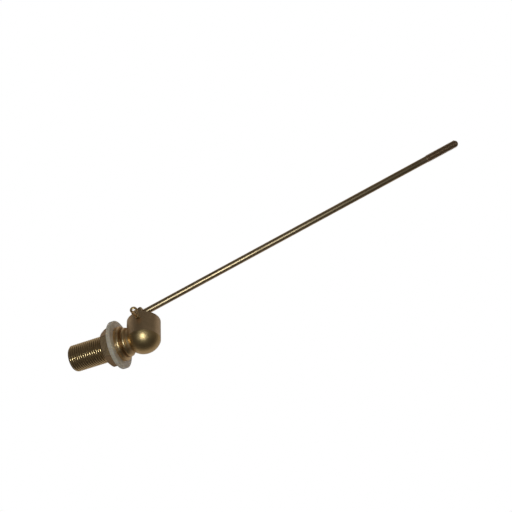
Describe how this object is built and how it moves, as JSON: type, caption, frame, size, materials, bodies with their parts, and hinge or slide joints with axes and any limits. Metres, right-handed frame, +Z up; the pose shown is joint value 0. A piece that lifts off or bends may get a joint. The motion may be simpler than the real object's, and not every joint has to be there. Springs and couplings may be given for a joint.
{
  "type": "float valve",
  "caption": "Brass float valve with a threaded inlet tail, backnut, washer, domed body and a pivoting lever with a long float rod.",
  "frame": {"origin": "centre of the inlet's end face, where the supply connector's washer seats", "axes": "+X along the inlet axis into the valve and towards the float rod, +Z up through the dome, +Y towards the side where the split pin's eye stands out"},
  "size_m": [0.327, 0.0407, 0.1164],
  "materials": {
    "cast_brass": "blasted bell with a turned flange and neck",
    "rough_brass": "rough cast",
    "lever_brass": "satin",
    "drawn_brass": "drawn, slightly tarnished",
    "pin_brass": "bright wire",
    "washer_plastic": "milky translucent",
    "nozzle_plastic": "moulded",
    "black_rubber": "moulded"
  },
  "bodies": {
    "valve": {"valve_body": "cast_brass", "seat_nozzle": "nozzle_plastic", "nozzle_seal": "black_rubber", "split_pin": "pin_brass"},
    "lever_arm": {"lever": "lever_brass", "seat_disc": "black_rubber", "float_rod": "drawn_brass", "lock_nut": "lever_brass"},
    "washer": {"tank_washer": "washer_plastic"},
    "nut": {"backnut": "rough_brass"}
  },
  "joints": [
    {"name": "lever_pivot", "type": "hinge", "parent": "valve", "child": "lever_arm", "pos_m": [0.061, 0, -0.0088], "axis": [0, -1, 0], "range_deg": [-18.5, 14.84]},
    {"name": "washer_travel", "type": "slide", "parent": "valve", "child": "washer", "axis": [-1, 0, 0], "range_m": [0, 0.02903]},
    {"name": "nut_turn", "type": "hinge", "parent": "washer", "child": "nut", "pos_m": [0.03331, 0, 0], "axis": [-1, 0, 0], "range_deg": [0, 5760]}
  ],
  "couplings": [
    {"joint": "washer_travel", "follows": "nut_turn", "m_per_rad": 0.00028871}
  ]
}
